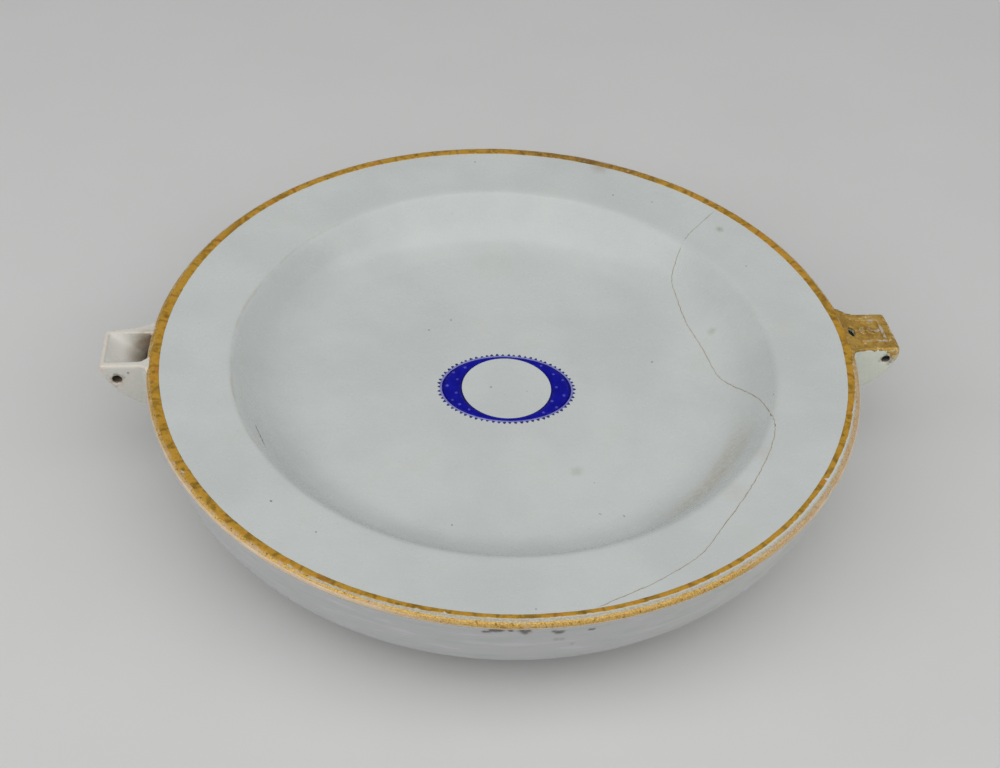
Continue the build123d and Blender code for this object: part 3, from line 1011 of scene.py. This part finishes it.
def relax_scoop(mesh):
    """Even out the points in the spout's scoop, as a finger smooths wet clay."""
    places = point_rows(mesh)
    inside = ((places > np.array(scoop_low)) & (places < np.array(scoop_high))).all(axis=1)
    start, end = edge_ends(mesh)
    kept = inside[start] | inside[end]
    start, end = start[kept], end[kept]
    shares = np.maximum(neighbour_sum(np.ones(len(places)), start, end), 1)
    for turn in range(scoop_turns):
        for axis in range(3):
            places[inside, axis] = (neighbour_sum(places[:, axis], start, end) / shares)[inside]
    mesh.vertices.foreach_set("co", places.ravel())


def shape_by_hand(mesh, wear=0.0):
    """Draw in the vent lug's far corner and upper end, wear the top down and warp the form."""
    x, y, z = point_rows(mesh).T
    outwards = np.clip((x - corner_from) / corner_run, 0, 1)
    farther = np.clip((y - lug_near) / (lug_far - lug_near), 0, 1)
    high = np.clip((z - upper_from) / upper_run, 0, 1)
    x = x - outwards * (corner_draw * farther**2 + upper_draw * high)
    mesh.vertices.foreach_set("co", hand_made(np.stack([x, y, z - wear], axis=1)).ravel())


def modelled_lug(name, side, nodes, ramps, hole=None):
    """A lug's slabs and luting as one soft form that grows out of the basin and the lip."""
    parts = [copied_solids(name + "_slabs", nodes), body_chunk(side)]
    parts += [root_ramp(side, *ramp) for ramp in ramps]
    lug = remeshed(joined(name, parts), lug_voxel)
    cut(lug, aperture_cutter(side))
    if hole is not None:
        cut(lug, hole)
    remeshed(lug, lug_voxel, 5)
    if side < 0:
        relax_scoop(lug.data)
    shape_by_hand(lug.data)
    mark_proud(lug.data)
    dress(lug, "porcelain", *nodes)
    return lug


def vent_hole_cutter(count=32):
    """Oval slot down through the vent lug's top."""
    turns = [2 * pi * index / count for index in range(count)]
    across, along = vent_hole_half
    ring = [(vent_hole_place + across * cos(turn), lug_middle + along * sin(turn)) for turn in turns]
    return capped_rings("vent_hole_cutter", [[(x, y, level) for x, y in ring] for level in vent_hole_levels])


spout_body = modelled_lug(
    "spout_body", -1,
    ["spout_near_wall", "spout_far_wall", "spout_end_wall", "spout_luting"],
    [
        (lug_near, lug_near + wall_reach, 3.5 * mm, 0.45 * mm, 1.8 * mm, 1.6 * mm),
        (lug_far - wall_reach, lug_far, 11 * mm, 0.5 * mm, 0.5 * mm, 2.2 * mm),
    ],
)
vent_body = modelled_lug(
    "vent_body", 1,
    ["vent_lug_near_wall", "vent_lug_far_wall", "vent_lug_end_wall", "vent_lug_top", "vent_lug_luting"],
    [(lug_near, lug_far, 4.5 * mm, 0.45 * mm, 1.2 * mm, 2.2 * mm)],
    vent_hole_cutter(),
)


def skin_over(name, piece, kept):
    """Thin skin that follows the faces of a piece whose centre passes the test kept."""
    faces = [face.vertices for face in piece.data.polygons if kept(face.center)]
    used = sorted({index for face in faces for index in face})
    number = {index: place for place, index in enumerate(used)}
    vertices = piece.data.vertices
    points = [tuple(vertices[index].co + vertices[index].normal * skin_lift) for index in used]
    skin = new_piece(name, points, [[number[index] for index in face] for face in faces], warp=False)
    solid = skin.modifiers.new("body", "SOLIDIFY")
    solid.thickness = skin_thickness
    solid.offset = -1
    return applied(skin)


def on_vent_top(centre):
    """Whether gold covers this place on the vent lug: its top, its upper edges and a smear at the tip."""
    size = 1.3 * mm
    ragged = noise.noise(centre / size) + 0.5 * noise.noise(centre * 2.6 / size)
    towards_tip = max(0.0, (centre.x - 132 * mm) / (7 * mm))
    top = centre.z > lug_top - (0.9 + 0.5 * ragged + 0.9 * towards_tip) * mm
    smear = (
        centre.x + 0.9 * (centre.z - 42.2 * mm) > (136.6 + 0.8 * ragged) * mm
        and centre.z > (41 + 0.8 * ragged) * mm
        and centre.y < lug_near + 1.5 * mm
    )
    return Vector(centre[:2]).length > rim_radius - 1.6 * mm and (top or smear)


def softened_relief(name, node):
    """A moulded CAD relief with its edges softened by glaze and wear, and worn low."""
    relief = remeshed(copied_solids(name, [node]), relief_voxel, 7)
    shape_by_hand(relief.data, relief_wear)
    dress(relief, "relief", node)
    return relief


vent_gold = skin_over("vent_gold", vent_body, on_vent_top)
dress(vent_gold, "gilding", "vent_lug_gilding")
vent_frame = softened_relief("vent_frame", "vent_lug_border")
vent_leaves = softened_relief("vent_leaves", "vent_lug_sprig")

# Enamelled medallion

medallion_place = Vector((0.9, -3.1)) * mm
medallion_tilt = radians(-3.9)
medallion_long = 24.6 * mm
medallion_short = 18.3 * mm
reserve_long = 15.7 * mm
reserve_short = 15.5 * mm
reserve_shift = 0.22 * mm
bead_length = 1.05 * mm
bead_inset = 0.78 * mm
bead_count = 66
line_width = 0.75 * mm
enamel_relief = 0.07 * mm
star_pixels = [
    (465.1, 367.6), (457.3, 379.4), (447.2, 385.6), (456.2, 392.8), (452.5, 400.0), (459.6, 404.3),
    (469.1, 409.5), (453.5, 372.5), (541.1, 365.8), (553.4, 374.4), (562.7, 380.2), (556.3, 387.3),
    (563.9, 395.5), (552.0, 401.2), (556.6, 407.4), (543.4, 412.6),
]


def laid(across, along):
    """Point in the well at a place in the medallion's own axes."""
    x = medallion_place.x + across * cos(medallion_tilt) - along * sin(medallion_tilt)
    y = medallion_place.y + across * sin(medallion_tilt) + along * cos(medallion_tilt)
    return x, y


def enamel_ring(name, inner, outer, relief):
    """Raised strip of enamel between two ovals of (half length, half width, shift)."""
    stations = [(row / 4, relief * (1 - (row / 2 - 1) ** 4)) for row in range(5)] + [(0.5, -relief)]
    points = []
    for share, lift in stations:
        for index in range(ring_segments):
            turn = 2 * pi * index / ring_segments
            ends = [
                Vector((long * cos(turn), shift + short * sin(turn))) for long, short, shift in (inner, outer)
            ]
            points.append((*laid(*ends[0].lerp(ends[1], share)), enamel_level + lift))
    return tidy_mesh(new_piece(name, points, grid_faces(len(stations), ring_segments, True, True)))


line_long = medallion_long - bead_length
line_short = medallion_short - bead_length
line_inside = (line_long - line_width, line_short - line_width, 0.0)
medallion_line = enamel_ring(
    "medallion_pale_line", line_inside, (line_long, line_short, 0.0), enamel_relief * 1.3)
medallion_blue = enamel_ring(
    "medallion_blue_field", (reserve_long, reserve_short, reserve_shift), line_inside, enamel_relief)
dress(medallion_line, "pale_enamel", "medallion_line")
dress(medallion_blue, "blue_enamel", "medallion_ground")


def enamel_dots(name, spots, lobes, depth, level, relief, count=14):
    """Group of small domed dots at (place, size, heading), each with a few blunt points."""
    points = []
    faces = []
    for place, size, heading in spots:
        start = len(points)
        for ring, lift in ((1.0, -0.3), (0.9, 0.45), (0.5, 0.9)):
            for index in range(count):
                turn = 2 * pi * index / count
                reach = ring * size * (1 + depth * cos(lobes * turn))
                spot = (place[0] + reach * cos(turn + heading), place[1] + reach * sin(turn + heading))
                points.append((*laid(*spot), level + relief * lift))
        faces += grid_faces(3, count, False, True, start)
        points.append((*laid(*place), level + relief))
        points.append((*laid(*place), level - relief * 0.3))
        top = start + 2 * count
        for index in range(count):
            following = (index + 1) % count
            faces.append([top + index, top + following, len(points) - 2])
            faces.append([start + following, start + index, len(points) - 1])
    return tidy_mesh(new_piece(name, points, faces))


def bead_spots():
    """Places of the beads, evenly spaced along the oval and a little uneven by hand."""
    fine = np.linspace(0, 2 * pi, 2001)
    long = medallion_long - bead_inset
    short = medallion_short - bead_inset
    steps = np.hypot(np.diff(long * np.cos(fine)), np.diff(short * np.sin(fine)))
    lengths = np.concatenate([[0], np.cumsum(steps)])
    spots = []
    for index in range(bead_count):
        turn = float(np.interp(lengths[-1] * (index + chance.uniform(-0.1, 0.1)) / bead_count, lengths, fine))
        facing = atan2(sin(turn) / short, cos(turn) / long)
        slip = chance.uniform(-0.12, 0.12) * mm
        place = ((long + slip) * cos(turn), (short + slip) * sin(turn))
        spots.append((place, chance.uniform(0.5, 0.62) * mm, facing))
    return spots


def star_spots():
    """Places of the faint stars on the two wings of the blue field."""
    spots = []
    for pixel in star_pixels:
        off = seen_at(plate_surface, pixel)[0].xy - medallion_place
        spot = Matrix.Rotation(-medallion_tilt, 2) @ off
        spots.append((tuple(spot), chance.uniform(0.5, 0.64) * mm, chance.uniform(0, 6)))
    return spots


medallion_beads = enamel_dots("medallion_bead_row", bead_spots(), 3, 0.16, enamel_level, enamel_relief * 1.6)
star_level = enamel_level + enamel_relief * 0.9
medallion_stars = enamel_dots("medallion_star_dots", star_spots(), 5, 0.25, star_level, enamel_relief * 0.6)
dress(medallion_beads, "bead_enamel", "medallion_beads")
dress(medallion_stars, "pale_enamel", "medallion_stars")

# Age: a hairline crack, iron specks and marks, placed by the photograph's pixels

crack_pixels = [
    (714.5, 211), (700, 224), (685, 239), (675, 264), (672, 281), (678, 302), (687, 324), (702, 348),
    (718, 376), (735, 387), (754, 395.5), (768.5, 410), (775, 427), (771, 448), (761, 470), (747, 493.5),
    (723, 527), (699, 556), (656, 582), (613, 601), (596, 608),
]
scratch_pixels = [(255, 424), (259, 433), (266, 448)]
speck_pixels = [
    (475, 162), (451, 320), (429, 330), (652, 362), (452, 525), (600, 514), (624, 516), (316, 532),
    (271, 501), (746, 266), (613, 195), (652, 202), (491, 387),
]
side_mark_pixels = [
    (484.5, 631.2, 1.2), (488.5, 631.4, 1.4), (492.5, 631.0, 1.5), (496.5, 630.8, 1.7), (500, 630.4, 1.5),
    (510.5, 630.4, 1.0), (521.5, 630.8, 1.3), (525.5, 632.6, 1.9), (529, 631, 1.1), (554, 631, 1.2),
    (557, 632, 1.6), (560.5, 632.2, 1.6), (590.5, 629.4, 0.9), (594, 628.8, 1.0),
]
faint_mark_pixels = [(556, 639, 1.3), (562, 639, 1.2), (572, 643.8, 1.0)]
plate_stain_pixels = [
    ((719, 229), 2.4, greenish, 0.6), ((712, 331), 2.4, greenish, 0.35), ((577, 471), 3.2, greenish, 0.28),
    ((244, 360), 4.0, tan_stain, 0.12), ((762, 452), 6.0, tan_stain, 0.14),
    ((735, 492), 6.0, tan_stain, 0.14), ((600, 167), 6.0, srgb(150, 120, 84), 0.3),
]
mark_growth = 1.25
line_lift = 0.015 * mm
speck_lift = 0.02 * mm


def smooth_route(points, per_span=10):
    """Points along a smooth curve through the given ones."""
    route = []
    padded = [points[0]] + points + [points[-1]]
    for before, start, end, after in zip(padded, padded[1:], padded[2:], padded[3:]):
        for step in range(per_span):
            share = step / per_span
            bend = (end - before) * share + (2 * before - 5 * start + 4 * end - after) * share**2
            bend += (3 * start - before - 3 * end + after) * share**3
            route.append(start + bend / 2)
    return route + [points[-1]]


def hairline(name, pixels, width):
    """Thin raised ribbon along a line seen on the plate, wandering and uneven in width."""
    hits = [seen_at(plate_surface, pixel) for pixel in smooth_route([Vector(pixel) for pixel in pixels])]
    points = []
    for index, (place, normal) in enumerate(hits):
        following = hits[min(index + 1, len(hits) - 1)][0]
        previous = hits[max(index - 1, 0)][0]
        across = normal.cross(following - previous).normalized()
        place = place + across * chance.uniform(-0.14, 0.14) * mm
        taper = min(1, index / 6, (len(hits) - 1 - index) / 6)
        half = width * (0.15 + 0.85 * taper) * chance.uniform(0.35, 0.65)
        points += [place - across * half - normal * line_lift, place + normal * line_lift]
        points += [place + across * half - normal * line_lift, place - normal * 2 * line_lift]
    faces = grid_faces(len(hits), 4, False, True)
    faces += [[0, 1, 2, 3], [4 * len(hits) - 1 - index for index in range(4)]]
    return tidy_mesh(new_piece(name, [tuple(point) for point in points], faces, warp=False), 1e-8)


def blobs(name, marks, relief, count=16):
    """Group of low ragged domes at (place, normal, along, length, width)."""
    points = []
    faces = []
    for place, normal, along, length, width in marks:
        across = normal.cross(along).normalized()
        start = len(points)
        phases = [chance.uniform(0, 2 * pi) for lobe in range(3)]
        for ring, lift in ((1.0, -1.0), (0.8, 0.6), (0.4, 1.0)):
            for index in range(count):
                turn = 2 * pi * index / count
                ragged = 1 + sum(0.16 * sin((lobe + 2) * turn + phase) for lobe, phase in enumerate(phases))
                spot = place + along * (ring * ragged * length * cos(turn))
                points.append(spot + across * (ring * ragged * width * sin(turn)) + normal * relief * lift)
        faces += grid_faces(3, count, False, True, start)
        faces.append([start + 2 * count + index for index in range(count)])
        faces.append([start + index for index in reversed(range(count))])
    return tidy_mesh(new_piece(name, [tuple(point) for point in points], faces, warp=False), 1e-8)


def speck_marks():
    """Places, directions and sizes of the iron specks on the plate."""
    marks = []
    for pixel in speck_pixels:
        place, normal = seen_at(plate_surface, pixel)
        turn = chance.uniform(0, pi)
        along = (Vector((cos(turn), sin(turn), 0)).cross(normal)).normalized()
        marks.append((place, normal, along, chance.uniform(0.3, 0.5) * mm, chance.uniform(0.2, 0.35) * mm))
    return marks


crack = hairline("hairline_crack", crack_pixels, 0.55 * mm)
scratch = hairline("well_scratch", scratch_pixels, 0.75 * mm)
specks = blobs("iron_specks", speck_marks(), speck_lift)
for piece in (crack, scratch, specks):
    dress(piece, "porcelain")

# Finishes, with stains, painted shade and painted highlights as (place, radius, colour, strength); marks on
# the lugs are in millimetres

plate_stains = [
    (seen_at(plate_surface, pixel)[0], size * mm, mark_colour, share)
    for pixel, size, mark_colour, share in plate_stain_pixels
]
side_stains = [
    (seen_at(basin_surface, (x, y))[0], mark_growth * size * mm, srgb(92, 86, 80), share)
    for marks, share in ((side_mark_pixels, 0.85), (faint_mark_pixels, 0.3))
    for x, y, size in marks
]
near_wall = lug_near / mm
# Depth behind the near wall and number of layers of the painted shade of the pin holes
painted_hole_depth = 2.6
painted_hole_layers = 3
spout_marks = [
    ((-131.2, -6.2, 38.9), 2.6, srgb(196, 160, 132), 0.6),
    ((-137.5, -5.5, 44.5), 2.4, srgb(222, 178, 156), 0.6),
    ((-122.5, 9.5, 43), 6, srgb(138, 104, 70), 0.7),
    ((-128.0, near_wall, 43.1), 0.7, srgb(82, 74, 66), 0.8),
]
# Dark round spots, three times over, where the pin hole is: painted shade of the empty hole
spout_marks += [((-132.2, near_wall + painted_hole_depth, 40.2), 4.2, srgb(58, 44, 30), 1.0)] * painted_hole_layers
# Pale spots down the near root of the spout: a painted highlight on the luting fillet
spout_marks += [((-121.8, near_wall, height), 2.2, srgb(236, 236, 224), 0.6) for height in (44, 41, 38, 35)]
vent_marks = [((136.5, -5.5, 42), 4, tan_stain, 0.5)]
# Dark round spot, three times over, where the vent lug's pin hole is: painted shade of the empty hole
vent_marks += [((134.6, near_wall + painted_hole_depth, 41.4), 4.0, srgb(52, 40, 30), 1.0)] * painted_hole_layers
# Centre of the brown stain and painted shade in the spout's throat
spout_throat_stain_and_shade = Vector((-121.0, 7.0, 39.0)) * mm


def paint(piece, material):
    """Give the piece this material alone."""
    piece.data.materials.clear()
    piece.data.materials.append(material)


def lug_stains_and_painted_light(marks):
    """The marks with their places and radii in metres."""
    return [(Vector(place) * mm, radius * mm, mark_colour, share) for place, radius, mark_colour, share in marks]


paint(glazed_plate, porcelain("plate_glaze", plate_stains + side_stains, plate=True))
paint(glazed_basin, porcelain("basin_glaze", side_stains, side_shade_grey, side=True))
paint(slip_seam, porcelain("seam_glaze", side_stains, side_shade_grey, side=True))
paint(biscuit_foot, bare_clay("foot_clay", srgb(205, 196, 178), srgb(196, 160, 120)))
paint(gilt_band_skin, band_gilding("gold_band"))
paint(gilt_edge_skin, edge_gilding("gold_edge"))
paint(spout_body, porcelain("spout_glaze", lug_stains_and_painted_light(spout_marks), lug_white, True, spout_throat_stain_and_shade))
paint(vent_body, porcelain("vent_glaze", lug_stains_and_painted_light(vent_marks), lug_green, True))
paint(vent_gold, gilded(
    "gold_lug", srgb(206, 166, 78), srgb(164, 126, 50), srgb(112, 80, 34), srgb(214, 194, 150),
    coverage=0.57, grain=0.9 * mm, metallic=0.3, tip_wear=0.1))
relief_gold = gilded(
    "worn_relief", srgb(206, 172, 98), srgb(168, 134, 66), srgb(116, 88, 48), srgb(192, 181, 166),
    coverage=0.51, grain=1.0 * mm, metallic=0.15, tip_wear=0.0)
paint(vent_frame, relief_gold)
paint(vent_leaves, relief_gold)
paint(medallion_blue, enamel("blue_enamel", srgb(6, 6, 138), srgb(18, 20, 166), 1.25))
paint(medallion_line, enamel("pale_enamel", srgb(120, 122, 206), srgb(154, 156, 216)))
paint(medallion_stars, enamel("star_enamel", srgb(58, 58, 172), srgb(92, 92, 192)))
paint(medallion_beads, enamel("bead_enamel", srgb(34, 36, 96), srgb(64, 68, 128)))
paint(crack, grime("crack_dirt", srgb(158, 143, 120), srgb(190, 182, 162)))
paint(scratch, grime("scratch_dirt", srgb(86, 68, 46), srgb(132, 112, 84)))
paint(specks, grime("speck_iron", srgb(96, 86, 66), srgb(142, 134, 112)))

# Floor, light and room

floor_half = 3.0


def pale_floor():
    """Large pale floor with a faint fine grain."""
    look = Look("floor_paper")
    look.colour = look.mix(look.noise(60 * mm, 3), srgb(216, 216, 214), srgb(222, 222, 220))
    corners = [(floor_half * x, floor_half * y, 0) for x, y in ((-1, -1), (1, -1), (1, 1), (-1, 1))]
    floor = new_piece("floor", corners, [(0, 1, 2, 3)], warp=False)
    paint(floor, look.finish(0.9, 0.02 * look.noise(0.8 * mm, 3)))


def softbox(name, place, size, energy):
    """Rectangular soft light that faces the plate."""
    light = bpy.data.lights.new(name, "AREA")
    light.shape = "RECTANGLE"
    light.size, light.size_y = size
    light.energy = energy
    lamp = placed(name, light)
    lamp.location = place
    lamp.rotation_euler = (-Vector(place)).to_track_quat("-Z", "Y").to_euler()


pale_floor()
softbox("top_light", (0.0, -0.55, 1.15), (4.4, 1.6), 23.5)
softbox("left_fill", (-1.1, -0.3, 0.7), (0.7, 0.7), 1.3)

room = bpy.data.worlds.new("room")
room.use_nodes = True
room.node_tree.nodes["Background"].inputs["Color"].default_value = (0.96, 0.98, 1.0, 1)
room.node_tree.nodes["Background"].inputs["Strength"].default_value = 0.25
bpy.context.scene.world = room
bpy.context.scene.view_settings.view_transform = "Standard"
